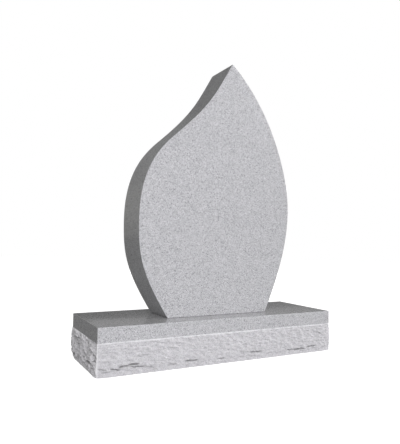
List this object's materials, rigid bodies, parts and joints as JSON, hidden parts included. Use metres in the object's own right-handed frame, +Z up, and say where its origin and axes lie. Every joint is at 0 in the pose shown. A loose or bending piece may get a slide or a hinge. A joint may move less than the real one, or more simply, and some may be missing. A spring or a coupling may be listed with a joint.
{
  "type": "upright headstone",
  "caption": "Upright granite headstone: a flame-shaped tablet with plain faces, standing on a low rectangular base with a smooth margin over rock-pitched sides.",
  "frame": {"origin": "centre of the base's flat underside, on the ground", "axes": "+X to the right along the front, +Y from the front to the back, +Z up"},
  "size_m": [0.9354, 0.3265, 1.0652],
  "materials": {
    "honed_granite": "honed",
    "rock_pitched_granite": "rock-pitched, with a polished top and margin"
  },
  "bodies": {
    "root": {"tablet": "honed_granite", "base": "rock_pitched_granite"}
  },
  "joints": []
}
